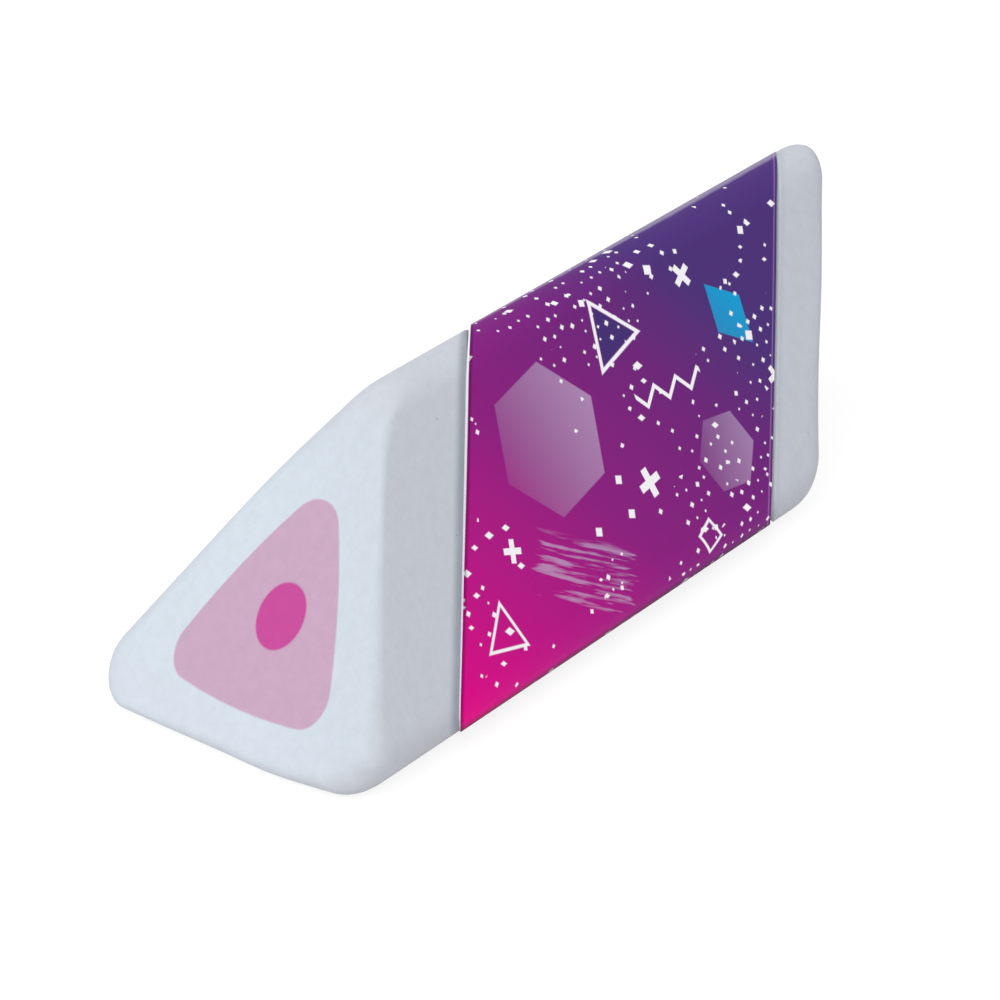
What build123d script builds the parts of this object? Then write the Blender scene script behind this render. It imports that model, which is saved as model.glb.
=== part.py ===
"""A three-sided block eraser in a folded card sleeve, in millimetres with +Z up.

The bar lies along X on one of its three faces, with a ridge on top. Both ends lean the same way, so each
long face is a parallelogram. The rubber is white, with a pink layer and a round core that run right through
and show on both ends. The sleeve is one strip of card, folded round the bar's three corners and glued to
its own flap on the back face. The origin is on the sleeve's underside, halfway along the bar's lower edges.
"""

import os
from math import cos, radians, sin, sqrt, tan

from build123d import *

# Bar: a face is measured between sharp corners, and the length along any of the three long edges
FACE_WIDTH = 24.0
BAR_LENGTH = 48.0
END_LEAN = 38.5  # degrees from square
CORNER_RADIUS = 2.0  # long edges
END_RADIUS = 0.9  # edges round each end

# Pink layer: the wall is the white rubber left outside a side's two ends, before the side swells
JACKET_WALL = 3.12
MIDDLE_RADIUS = 1.55
MIDDLE_BOW = 0.55  # how far its sides swell halfway along
MIDDLE_FORWARD = 0.1  # of its middle from the middle of the bar's section
MIDDLE_RAISE = 0.1

# Round core, off the middle of the section too
CORE_DIAMETER = 3.38
CORE_FORWARD = 0.46
CORE_RAISE = 0.6

# Card sleeve
CARD_THICKNESS = 0.2
SLEEVE_CLEARANCE = 0.12  # between card and rubber, all round
SLEEVE_LENGTH = 32.8
SLEEVE_SHIFT = 0.6  # of the sleeve's middle past the bar's middle
FOLD_CUT_SETBACK = 0.1  # keeps the cuts over the front panel's folds off the panel's own end
PANEL_CUT_OVERRUN = 0.2  # share of a back or bottom panel's cut that runs on past the back fold

# Lap seam on the back face
FLAP_WIDTH = 7.0  # flat part of the flap, above the back fold
SEAM_EDGE_GAP = 0.4  # between the back fold and the outer panel's free edge
STEP_CLEARANCE = 0.3  # between the flap's edge and the step where the outer panel rises over it
STEP_LENGTH = 1.5
STEP_RADIUS = 2.0
GLUE_THICKNESS = 0.08
GLUE_MARGIN = 0.8  # bare card on each side of the glue

# Places worked out from the sizes above
FOLD_RADIUS = CORNER_RADIUS + SLEEVE_CLEARANCE  # inside of a fold
FOLD_SETBACK = FOLD_RADIUS * tan(radians(60))  # from a sharp corner to where its fold ends
AXIS_HEIGHT = CARD_THICKNESS + SLEEVE_CLEARANCE + FACE_WIDTH / (2 * sqrt(3))
SEAM_LIFT = CARD_THICKNESS + GLUE_THICKNESS  # of the outer panel over the flap
BACK_REACH = FACE_WIDTH + 2 * sqrt(3) * SLEEVE_CLEARANCE  # of the sleeve's inner back face, corner to corner
FLAP_REACH = FOLD_SETBACK + FLAP_WIDTH
SEAM_EDGE = FOLD_SETBACK + SEAM_EDGE_GAP


def triangle(outset):
    """Back, front and ridge corners of the bar's section (Y, Z), with each side moved out by outset."""
    centre = Vector(0, AXIS_HEIGHT)
    reach = FACE_WIDTH / sqrt(3) + 2 * outset
    return [centre + Vector(reach, 0).rotate(Axis.Z, angle) for angle in (-30, 210, 90)]


def back_face_point(from_back, outset):
    """A point (Y, Z) by the back face: how far up from the back corner, and how far out from the rubber."""
    back, _, ridge = triangle(SLEEVE_CLEARANCE)
    up = (ridge - back).normalized()
    outward = up.rotate(Axis.Z, -90)
    return back + up * from_back + outward * (outset - SLEEVE_CLEARANCE)


def leaning_bar(section):
    """A section (Y, Z) run along X for the bar's length, with both ends cut on the lean."""
    lean = radians(END_LEAN)
    bar = extrude(Plane.YZ * section, BAR_LENGTH + FACE_WIDTH * tan(lean), both=True)
    for end in (-1, 1):
        foot = (end * BAR_LENGTH / 2, 0, 0)
        cut = Plane(foot, x_dir=(0, 1, 0), z_dir=(end * cos(lean), 0, -end * sin(lean)))
        bar = split(bar, bisect_by=cut, keep=Keep.BOTTOM)
    return bar


def over_front(across):
    """How far an end of the sleeve has run from its foot, at a place (Y) on the front panel or its folds."""
    _, front, _ = triangle(SLEEVE_CLEARANCE)
    height = front.Y + (across - front.X) * tan(radians(60))
    return height * tan(radians(END_LEAN)) - FOLD_CUT_SETBACK


def before_sleeve_end(foot):
    """All the space before one end of the sleeve, where foot is the end's place along its underside.

    The end leans like the bar's on the front panel, and seen from above it runs on straight over both of
    the panel's folds. The back and bottom panels' ends run from there to the back fold, where they are on
    the lean again.
    """
    lean = radians(END_LEAN)
    run = 2 * BAR_LENGTH
    end_face = Plane((foot, 0, 0), x_dir=(0, 1, 0), z_dir=(cos(lean), 0, -sin(lean)))
    space = end_face * Box(run, run, run, align=(Align.CENTER, Align.CENTER, Align.MAX))
    outside = SLEEVE_CLEARANCE + CARD_THICKNESS
    back, front, _ = triangle(outside)
    setback = (FOLD_RADIUS + CARD_THICKNESS) * tan(radians(60))
    ridge_turn = back_face_point(BACK_REACH - FOLD_SETBACK, outside)
    back_landing = back_face_point(FOLD_SETBACK, outside)
    for turn, landing, base, height in (
        (ridge_turn, back_landing, back_landing.Y, BACK_REACH),
        (
            front + Vector(setback, 0),
            back - Vector(setback, 0),
            -CARD_THICKNESS,
            back_landing.Y + CARD_THICKNESS,
        ),
    ):
        turned = Vector(foot + over_front(turn.X), turn.X)
        landed = Vector(foot + landing.Y * tan(lean), landing.X)
        past = landed + (landed - turned) * PANEL_CUT_OVERRUN
        outline = make_face(Polyline(
            (foot - run, front.X),
            (foot + over_front(front.X), front.X),
            turned,
            past,
            (foot - run, past.Y),
            close=True,
        ))
        space += extrude(Pos(0, 0, base) * outline, height)
    return space


def bar_section():
    """Outline of the rubber bar: a triangle with rounded corners."""
    outline = make_face(Polyline(*triangle(0), close=True))
    return fillet(outline.vertices(), CORNER_RADIUS)


def middle_section():
    """Outline of the pink layer: a rounded triangle whose sides swell a little."""
    corners = triangle(-JACKET_WALL)
    centre = Vector(0, AXIS_HEIGHT)
    sides = []
    for start, stop in zip(corners, corners[1:] + corners[:1]):
        halfway = (start + stop) / 2
        sides.append(ThreePointArc(start, halfway + (halfway - centre).normalized() * MIDDLE_BOW, stop))
    outline = make_face(sides)
    return Pos(-MIDDLE_FORWARD, MIDDLE_RAISE) * fillet(outline.vertices(), MIDDLE_RADIUS)


def core_section():
    """Outline of the round core."""
    return Pos(-CORE_FORWARD, AXIS_HEIGHT + CORE_RAISE) * Circle(CORE_DIAMETER / 2)


def sleeve_path(out):
    """One side of the folded strip seen from its end, a distance out from its inner side.

    It runs from the flap's edge round the back, front and ridge folds, and down the panel over the flap.
    """
    back, front, ridge = triangle(SLEEVE_CLEARANCE + out)
    panel_level = SLEEVE_CLEARANCE + out
    step_foot = FLAP_REACH + STEP_CLEARANCE
    fold = FOLD_RADIUS + out
    return FilletPolyline(
        back_face_point(FLAP_REACH, panel_level),
        back,
        front,
        ridge,
        back_face_point(step_foot + STEP_LENGTH, panel_level),
        back_face_point(step_foot, panel_level + SEAM_LIFT),
        back_face_point(SEAM_EDGE, panel_level + SEAM_LIFT),
        radius=[fold, fold, fold, STEP_RADIUS + CARD_THICKNESS - out, STEP_RADIUS + out],
    )


def sleeve_section():
    """The folded strip of card seen from its end."""
    inner = sleeve_path(0)
    outer = sleeve_path(CARD_THICKNESS)
    flap_edge = Line(inner @ 0, outer @ 0)
    free_edge = Line(inner @ 1, outer @ 1)
    return make_face([*inner.edges(), free_edge, *outer.edges(), flap_edge])


def glue_section():
    """The film of glue between the flap and the outer panel."""
    under = SLEEVE_CLEARANCE + CARD_THICKNESS
    over = under + GLUE_THICKNESS
    low = SEAM_EDGE + GLUE_MARGIN
    high = FLAP_REACH - GLUE_MARGIN
    return make_face(Polyline(
        back_face_point(low, under),
        back_face_point(high, under),
        back_face_point(high, over),
        back_face_point(low, over),
        close=True,
    ))


def sleeve_run(section, length):
    """A section (Y, Z) run along X, with both ends cut like the sleeve's."""
    run = extrude(Plane.YZ * section, 2 * BAR_LENGTH, both=True)
    start = SLEEVE_SHIFT - length / 2
    return (run & before_sleeve_end(start + length)) - before_sleeve_end(start)


def rounded_bar():
    """The whole rubber bar, its ends rounded all the way round."""
    bar = leaning_bar(bar_section())
    lean = radians(END_LEAN)
    ends = bar.faces().sort_by(Axis((0, 0, 0), (cos(lean), 0, -sin(lean))))
    return fillet(ends[0].edges() + ends[-1].edges(), END_RADIUS)


def make_parts():
    """Every piece of the eraser, by name."""
    middle_bar = leaning_bar(middle_section())
    core = leaning_bar(core_section())
    return {
        "eraser_jacket": rounded_bar() - middle_bar,
        "eraser_middle": middle_bar - core,
        "eraser_core": core,
        "card_sleeve": sleeve_run(sleeve_section(), SLEEVE_LENGTH),
        "seam_glue": sleeve_run(glue_section(), SLEEVE_LENGTH - 2 * GLUE_MARGIN),
    }


os.makedirs("parts", exist_ok=True)
for name, piece in make_parts().items():
    export_step(piece, f"parts/{name}.step")

pull_off = (BAR_LENGTH + SLEEVE_LENGTH) / 2
ridge_turn = back_face_point(BACK_REACH - FOLD_SETBACK, SLEEVE_CLEARANCE + CARD_THICKNESS)
advance = over_front(ridge_turn.X) - ridge_turn.Y * tan(radians(END_LEAN))
off_near = -pull_off - SLEEVE_SHIFT - advance
off_far = pull_off - SLEEVE_SHIFT
print(f"sleeve comes off at {off_near:.1f} and {off_far:.1f} mm along X")
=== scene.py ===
"""Looks of a three-sided block eraser in a printed card sleeve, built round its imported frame.

Lengths are in metres, in the part's own frame: the bar lies along X with its ridge up, and both ends lean
towards +X. The print on the sleeve is drawn in millimetres along the bar and along the folded card.
"""

from __future__ import annotations

import logging
import math
from collections.abc import Iterable, Mapping
from dataclasses import dataclass
from enum import Enum

import bmesh
import bpy
from mathutils import Matrix, Quaternion, Vector

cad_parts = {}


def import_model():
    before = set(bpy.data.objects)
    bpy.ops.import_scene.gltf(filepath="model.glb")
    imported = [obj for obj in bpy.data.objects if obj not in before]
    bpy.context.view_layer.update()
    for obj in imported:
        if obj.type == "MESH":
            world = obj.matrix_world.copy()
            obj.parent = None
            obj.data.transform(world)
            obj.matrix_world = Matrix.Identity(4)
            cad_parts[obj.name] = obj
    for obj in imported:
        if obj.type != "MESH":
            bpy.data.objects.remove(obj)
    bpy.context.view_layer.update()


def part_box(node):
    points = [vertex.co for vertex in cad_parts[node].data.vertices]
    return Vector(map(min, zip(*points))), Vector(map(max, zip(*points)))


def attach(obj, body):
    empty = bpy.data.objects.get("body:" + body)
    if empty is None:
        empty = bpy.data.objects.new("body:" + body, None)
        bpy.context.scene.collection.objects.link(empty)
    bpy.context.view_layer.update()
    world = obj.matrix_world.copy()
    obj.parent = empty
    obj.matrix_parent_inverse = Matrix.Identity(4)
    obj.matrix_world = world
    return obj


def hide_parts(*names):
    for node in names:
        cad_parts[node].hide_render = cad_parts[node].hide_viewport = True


LOG = logging.getLogger("block_eraser")
MM = 0.001

# Degrees round the bar's section, from +Y towards +Z
RIDGE, FRONT, BACK = 90, 210, 330
CORNERS = (RIDGE, FRONT, BACK)
BOTTOM_OUT, BACK_OUT, FRONT_OUT = -90, 30, 150
SIDES = (BOTTOM_OUT, BACK_OUT, FRONT_OUT)
BACK_DOWN = -60
CORNER_TURN = 120
FULL_TURN = 360

# Curve of screen colours: straight at its dark foot, and a power above that
SCREEN_STEPS = 255
FOOT_END = 0.04045
FOOT_SLOPE = 12.92
CURVE_OFFSET = 0.055
CURVE_POWER = 2.4

Colour = tuple[float, float, float, float]
Row = tuple[list[bmesh.types.BMVert], list[bmesh.types.BMEdge]]


def paint(red: int, green: int, blue: int) -> Colour:
    """Turn a screen colour in 8-bit steps into the linear colour that shaders take.

    Args:
        red: Red, 0 to 255.
        green: Green, 0 to 255.
        blue: Blue, 0 to 255.

    Returns:
        The linear colour, with an alpha of 1.
    """
    channels = []
    for step in (red, green, blue):
        share = step / SCREEN_STEPS
        if share <= FOOT_END:
            channels.append(share / FOOT_SLOPE)
        else:
            channels.append(((share + CURVE_OFFSET) / (1 + CURVE_OFFSET)) ** CURVE_POWER)
    return (channels[0], channels[1], channels[2], 1.0)


def way(degrees: float) -> Vector:
    """A vector of length 1, at degrees from the first axis towards the second."""
    return Vector((math.cos(math.radians(degrees)), math.sin(math.radians(degrees))))


def grow_row(shape: bmesh.types.BMesh, edges: list[bmesh.types.BMEdge]) -> Row:
    """Extrude a row of edges, ready to be moved.

    Args:
        shape: The shape that grows.
        edges: Its last row of edges.

    Returns:
        The new row's vertices and edges.
    """
    grown = bmesh.ops.extrude_edge_only(shape, edges=edges)["geom"]
    verts = [part for part in grown if isinstance(part, bmesh.types.BMVert)]
    row = set(verts)
    lines = [part for part in grown if isinstance(part, bmesh.types.BMEdge)]
    return verts, [line for line in lines if row.issuperset(line.verts)]


def add_piece(name: str, shape: bmesh.types.BMesh) -> bpy.types.Object:
    """Put a finished shape into the scene.

    Args:
        name: Name of the piece.
        shape: Its shape, which is freed.

    Returns:
        The piece, at the origin.
    """
    mesh = bpy.data.meshes.new(name)
    shape.to_mesh(mesh)
    shape.free()
    piece = bpy.data.objects.new(name, mesh)
    bpy.context.scene.collection.objects.link(piece)
    return piece


@dataclass(frozen=True)
class Signal:
    """One output of a finish's nodes; arithmetic on it adds Math nodes."""

    recipe: Recipe
    socket: bpy.types.NodeSocket

    def __add__(self, other: Feed) -> Signal:
        """Sum of two values."""
        return self.recipe.math("ADD", self, other)

    def __radd__(self, other: Feed) -> Signal:
        """Sum with a plain number on the left."""
        return self.recipe.math("ADD", other, self)

    def __sub__(self, other: Feed) -> Signal:
        """Difference of two values."""
        return self.recipe.math("SUBTRACT", self, other)

    def __rsub__(self, other: Feed) -> Signal:
        """Difference from a plain number on the left."""
        return self.recipe.math("SUBTRACT", other, self)

    def __mul__(self, other: Feed) -> Signal:
        """Product of two values."""
        return self.recipe.math("MULTIPLY", self, other)

    def __rmul__(self, other: Feed) -> Signal:
        """Product with a plain number on the left."""
        return self.recipe.math("MULTIPLY", other, self)

    def __truediv__(self, other: Feed) -> Signal:
        """Quotient of two values."""
        return self.recipe.math("DIVIDE", self, other)

    def __pow__(self, other: Feed) -> Signal:
        """Power of a value."""
        return self.recipe.math("POWER", self, other)

    def __abs__(self) -> Signal:
        """Size of a value without its sign."""
        return self.recipe.math("ABSOLUTE", self)

    def __gt__(self, other: Feed) -> Signal:
        """1 where this value is the larger, or else 0."""
        return self.recipe.math("GREATER_THAN", self, other)

    def __lt__(self, other: Feed) -> Signal:
        """1 where this value is the smaller, or else 0."""
        return self.recipe.math("LESS_THAN", self, other)

    def top(self, other: Feed) -> Signal:
        """The larger of two values."""
        return self.recipe.math("MAXIMUM", self, other)

    def least(self, other: Feed) -> Signal:
        """The smaller of two values."""
        return self.recipe.math("MINIMUM", self, other)

    def clamped(self) -> Signal:
        """The value held between 0 and 1."""
        return self.recipe.math("ADD", self, 0.0, use_clamp=True)

    def inside(self, soft: float) -> Signal:
        """A mask of a shape from its signed distance: 1 inside and 0 outside, with an edge of this width."""
        return (0.5 - self / soft).clamped()

    def around(self, level: Feed, spread: float) -> Signal:
        """Noise about 0.5 made to vary about a level instead, by half the spread on each side."""
        return level + (self - 0.5) * spread


Feed = Signal | float | int | Colour


def hypotenuse(first: Signal, second: Signal) -> Signal:
    """Length of a vector of two values."""
    return (first * first + second * second) ** 0.5


def eased(share: Feed) -> Feed:
    """A share from 0 to 1 that starts and ends gently."""
    return share * share * (3.0 - share * 2.0)


class Recipe:
    """Adds nodes to one material or world, and links them."""

    def __init__(self, owner: bpy.types.Material | bpy.types.World) -> None:
        """Start from an empty node tree.

        Args:
            owner: The material or world that gets the nodes.
        """
        owner.use_nodes = True
        self.tree = owner.node_tree
        self.tree.nodes.clear()

    def node(
        self,
        kind: str,
        settings: Mapping[str, object] | None = None,
        sockets: Mapping[str | int, Feed] | None = None,
    ) -> bpy.types.Node:
        """Add one node of any kind.

        Args:
            kind: Blender's name for the node's type.
            settings: The node's own options, set first; "stops" gives a ramp's positions and colours.
            sockets: Values or links for its inputs, by name or place.

        Returns:
            The new node.
        """
        made = self.tree.nodes.new(kind)
        for name, value in (settings or {}).items():
            if name == "stops":
                self._set_stops(made.color_ramp, value)
            else:
                setattr(made, name, value)
        for name, value in (sockets or {}).items():
            if isinstance(value, Signal):
                self.tree.links.new(value.socket, made.inputs[name])
            else:
                made.inputs[name].default_value = value
        return made

    @staticmethod
    def _set_stops(ramp: bpy.types.ColorRamp, stops: Iterable[tuple[float, Colour]]) -> None:
        """Give a colour ramp its stops, from first to last.

        Args:
            ramp: The ramp, with fewer stops or as many.
            stops: Positions from 0 to 1, and colours.
        """
        placed = list(stops)
        while len(ramp.elements) < len(placed):
            ramp.elements.new(1.0)
        for element, (position, colour) in zip(ramp.elements, placed):
            element.position = position
            element.color = colour

    def signal(
        self,
        kind: str,
        output: str | int,
        settings: Mapping[str, object] | None = None,
        sockets: Mapping[str | int, Feed] | None = None,
    ) -> Signal:
        """Add a node and take one of its outputs, by name or place."""
        return Signal(self, self.node(kind, settings, sockets).outputs[output])

    def math(self, operation: str, *values: Feed, use_clamp: bool = False) -> Signal:
        """Add a Math node, with its inputs in order."""
        settings = {"operation": operation, "use_clamp": use_clamp}
        return self.signal("ShaderNodeMath", 0, settings, dict(enumerate(values)))

    def mix(self, share: Feed, first: Feed, second: Feed) -> Signal:
        """Mix two colours, the first at a share of 0 and the second at 1."""
        # A Mix node has its sockets for colours at these places, after those for values and vectors
        return self.signal("ShaderNodeMix", 2, {"data_type": "RGBA"}, {0: share, 6: first, 7: second})

    def tint(self, colour: Signal, share: Signal) -> Signal:
        """Darken or lighten a colour, by what it is multiplied by."""
        return self.signal("ShaderNodeVectorMath", 0, {"operation": "SCALE"}, {0: colour, "Scale": share})

    def noise(self, where: Signal, scale: float, detail: float = 2.0, rough: float = 0.5) -> Signal:
        """Soft noise about 0.5, whose scale is in lumps per unit of the coordinates."""
        sockets = {"Vector": where, "Scale": scale, "Detail": detail, "Roughness": rough}
        return self.signal("ShaderNodeTexNoise", "Fac", None, sockets)

    def bump(self, height: Signal, distance: float = 1.0) -> Signal:
        """Turn a height into a surface normal, where a height of 1 stands out by the distance in metres."""
        return self.signal("ShaderNodeBump", 0, None, {"Height": height, "Distance": distance})

    def position(self) -> Signal:
        """The piece's own coordinates, in metres in the part's frame."""
        return self.signal("ShaderNodeTexCoord", "Object")

    def measure(self, name: str) -> Signal:
        """A value that the piece's mesh carries under this name."""
        return self.signal("ShaderNodeAttribute", "Fac", {"attribute_name": name})

    def vector(self, first: Feed, second: Feed, third: Feed) -> Signal:
        """Join three values into a vector."""
        return self.signal("ShaderNodeCombineXYZ", 0, None, {0: first, 1: second, 2: third})

    def parts(self, vector: Signal) -> tuple[Signal, Signal, Signal]:
        """Split a vector into its three values."""
        first, second, third = self.node("ShaderNodeSeparateXYZ", None, {0: vector}).outputs
        return Signal(self, first), Signal(self, second), Signal(self, third)

    def surface(self, sockets: Mapping[str | int, Feed]) -> None:
        """End the recipe in one principled surface.

        Args:
            sockets: Values or links for the surface's inputs.
        """
        shader = self.node("ShaderNodeBsdfPrincipled", None, sockets)
        output = self.node("ShaderNodeOutputMaterial")
        self.tree.links.new(shader.outputs[0], output.inputs["Surface"])


@dataclass(frozen=True)
class Bar:
    """Shape of the rubber bar, which its finish and the sleeve both follow."""

    underside: float
    face_width: float = 24 * MM
    half_length: float = 24 * MM
    lean: float = math.radians(38.5)
    corner_radius: float = 2.09 * MM
    core_radius: float = 1.69 * MM
    core_forward: float = 0.46 * MM
    core_raise: float = 0.6 * MM

    @property
    def slope(self) -> float:
        """How far an end moves along X for each unit of height."""
        return math.tan(self.lean)

    @property
    def inradius(self) -> float:
        """Distance from the middle of the section to each long face."""
        return self.face_width / (2 * math.sqrt(3))

    @property
    def axis_height(self) -> float:
        """Height of the middle of the section."""
        return self.underside + self.inradius


@dataclass(frozen=True)
class PinkOutline:
    """Outline of the pink layer in the section: three swelling sides and three round corners."""

    bar: Bar
    wall: float = 3.12 * MM
    bow: float = 0.55 * MM
    radius: float = 1.55 * MM
    top_radius: float = 1.95 * MM
    forward: float = 0.1 * MM
    lift: float = 0.1 * MM

    @property
    def side_radius(self) -> float:
        """Radius of a swelling side."""
        half = (self.bar.inradius - self.wall) * math.sqrt(3)
        return (half**2 + self.bow**2) / (2 * self.bow)

    @property
    def side_back(self) -> float:
        """How far behind the outline's middle a side's own centre is."""
        return self.side_radius - (self.bar.inradius - self.wall) - self.bow

    def corner_out(self, radius: float) -> float:
        """How far out from the outline's middle the centre of a corner of this radius is."""
        inner = self.side_radius - radius
        return (math.sqrt(4 * inner**2 - 3 * self.side_back**2) - self.side_back) / 2

    def corner_half_angle(self, radius: float) -> float:
        """Half the angle that a corner of this radius turns through."""
        return math.acos((self.corner_out(radius) + self.side_back / 2) / (self.side_radius - radius))

    def distance(self, across: Signal, up: Signal) -> Signal:
        """Signed distance from the outline, for a finish.

        Args:
            across: Place across the bar.
            up: Height over the middle of the bar's section.

        Returns:
            The distance, negative inside.
        """
        own_across, own_up = across + self.forward, up - self.lift
        edge = None
        for angle in SIDES:
            out, side = self._turned(own_across, own_up, angle)
            from_side = hypotenuse(out + self.side_back, side) - self.side_radius
            edge = from_side if edge is None else edge.top(from_side)
        for angle, radius in zip(CORNERS, (self.top_radius, self.radius, self.radius)):
            out, side = self._turned(own_across, own_up, angle)
            past = out - self.corner_out(radius)
            around = hypotenuse(past, side) - radius
            elsewhere = abs(side) > past * math.tan(self.corner_half_angle(radius))
            edge = edge.top(around - elsewhere * self.bar.face_width)
        return edge

    def rim(self, outside: Vector) -> Vector:
        """Where the outline is met on the way in from a point outside it.

        Args:
            outside: The point, across the bar and up from the rest face.

        Returns:
            The place on the outline.
        """
        middle = Vector((-self.forward, self.bar.axis_height + self.lift))
        outward = (outside - middle).normalized()
        angle = math.degrees(math.atan2(outward.y, outward.x))
        reach = min(self._side_reach(angle - side) for side in SIDES)
        corner_out = self.corner_out(self.radius)
        spread = math.tan(self.corner_half_angle(self.radius))
        for corner in CORNERS:
            turn = math.radians(angle - corner)
            aside = corner_out * math.sin(turn)
            if math.cos(turn) > 0 and abs(aside) < self.radius:
                around = corner_out * math.cos(turn) + math.sqrt(self.radius**2 - aside**2)
                past = around * math.cos(turn) - corner_out
                if abs(around * math.sin(turn)) < past * spread:
                    reach = around
        return middle + outward * reach

    def _side_reach(self, degrees: float) -> float:
        """How far from the outline's middle a side is, at an angle from its own way out.

        Args:
            degrees: The angle.

        Returns:
            The distance.
        """
        turn = math.radians(degrees)
        aside = self.side_back * math.sin(turn)
        return math.sqrt(self.side_radius**2 - aside**2) - self.side_back * math.cos(turn)

    @staticmethod
    def _turned(across: Signal, up: Signal, angle: float) -> tuple[Signal, Signal]:
        """A point measured out along an angle in degrees, and sideways from there."""
        out = way(angle)
        return across * out.x + up * out.y, across * out.y - up * out.x


@dataclass(frozen=True)
class SleeveSection:
    """The folded card as seen from its end, by its outer side."""

    bar: Bar
    proud: float = 0.32 * MM
    fold_radius: float = 2.41 * MM

    @property
    def reach(self) -> float:
        """Distance across the bar from the ridge to where the lower folds would meet if they were sharp."""
        return (self.bar.inradius + self.proud) * math.sqrt(3)

    @property
    def panel(self) -> float:
        """Flat width of a whole panel, between its folds."""
        return 2 * (self.reach - self.fold_radius * math.sqrt(3))

    @property
    def landing(self) -> tuple[float, float]:
        """Upper limit of the back fold.

        Returns:
            Its place across the bar, and its height.
        """
        out = math.radians(BACK_OUT)
        across = self.reach - self.fold_radius * (math.sqrt(3) - math.cos(out))
        return across, self.fold_radius * (1 + math.sin(out))


@dataclass(frozen=True)
class SleeveEnd:
    """Where one end of the sleeve runs along the bar.

    It leans like the bar's end on the front panel, and seen from above it goes straight on over both of
    that panel's folds. The back and bottom panels' ends run from there to the back fold, where they are on
    the lean.
    """

    section: SleeveSection
    foot: float
    lean: float

    @property
    def slope(self) -> float:
        """How far the end moves along X for each unit of height on the front panel."""
        return math.tan(math.radians(self.lean))

    def over_front(self, across: Feed) -> Feed:
        """How far the end has run from its foot, at a place across the front panel or its folds."""
        return (across + self.section.reach) * (math.sqrt(3) * self.slope)

    def down_back(self, across: Feed) -> Feed:
        """How far the end has run from its foot, at a place across the back panel.

        Args:
            across: The place across the bar.

        Returns:
            The distance along X.
        """
        turn = self.section.fold_radius * math.cos(math.radians(BACK_OUT))
        low_across, low_height = self.section.landing
        turned = self.over_front(turn)
        return turned - (across - turn) * ((turned - low_height * self.slope) / (low_across - turn))

    def under_bottom(self, across: Feed) -> Feed:
        """How far the end has run from its foot, at a place across the bottom panel."""
        half = self.section.panel / 2
        return (half - across) * (self.over_front(-half) / (2 * half))

    def along(self, across: float, height: float) -> float:
        """Where the end is along X.

        Args:
            across: Place across the bar.
            height: Height over the rest face.

        Returns:
            The place along X.
        """
        _, low_height = self.section.landing
        other = self.down_back(across) if height > low_height else self.under_bottom(across)
        return self.foot + max(height * self.slope, min(self.over_front(across), other))

    def past(self, recipe: Recipe, where: Signal) -> Signal:
        """Distance along the bar past the end, for a finish.

        Args:
            recipe: The finish that reads it.
            where: The piece's own coordinates.

        Returns:
            The distance, which is negative before the end.
        """
        along, across, height = recipe.parts(where)
        _, low_height = self.section.landing
        high = height > low_height
        other = self.down_back(across) * high + self.under_bottom(across) * (1.0 - high)
        return along - self.foot - (height * self.slope).top(self.over_front(across).least(other))


@dataclass(frozen=True)
class SleeveEnds:
    """Both ends of the sleeve, which were cut on slightly different leans."""

    section: SleeveSection
    near_foot: float = -15.53 * MM
    near_lean: float = 37.0
    far_foot: float = 17.01 * MM
    far_lean: float = 38.27

    @property
    def near(self) -> SleeveEnd:
        """The end by the coloured end face that the photograph shows."""
        return SleeveEnd(self.section, self.near_foot, self.near_lean)

    @property
    def far(self) -> SleeveEnd:
        """The other end."""
        return SleeveEnd(self.section, self.far_foot, self.far_lean)


class Layer(Enum):
    """The rubber's layers, named as the nodes that hold them."""

    JACKET = "eraser_jacket"
    MIDDLE = "eraser_middle"
    CORE = "eraser_core"

    @property
    def slot(self) -> str:
        """The record's name for the layer's material."""
        return {Layer.JACKET: "white_rubber", Layer.MIDDLE: "pink_rubber", Layer.CORE: "magenta_rubber"}[self]


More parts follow.
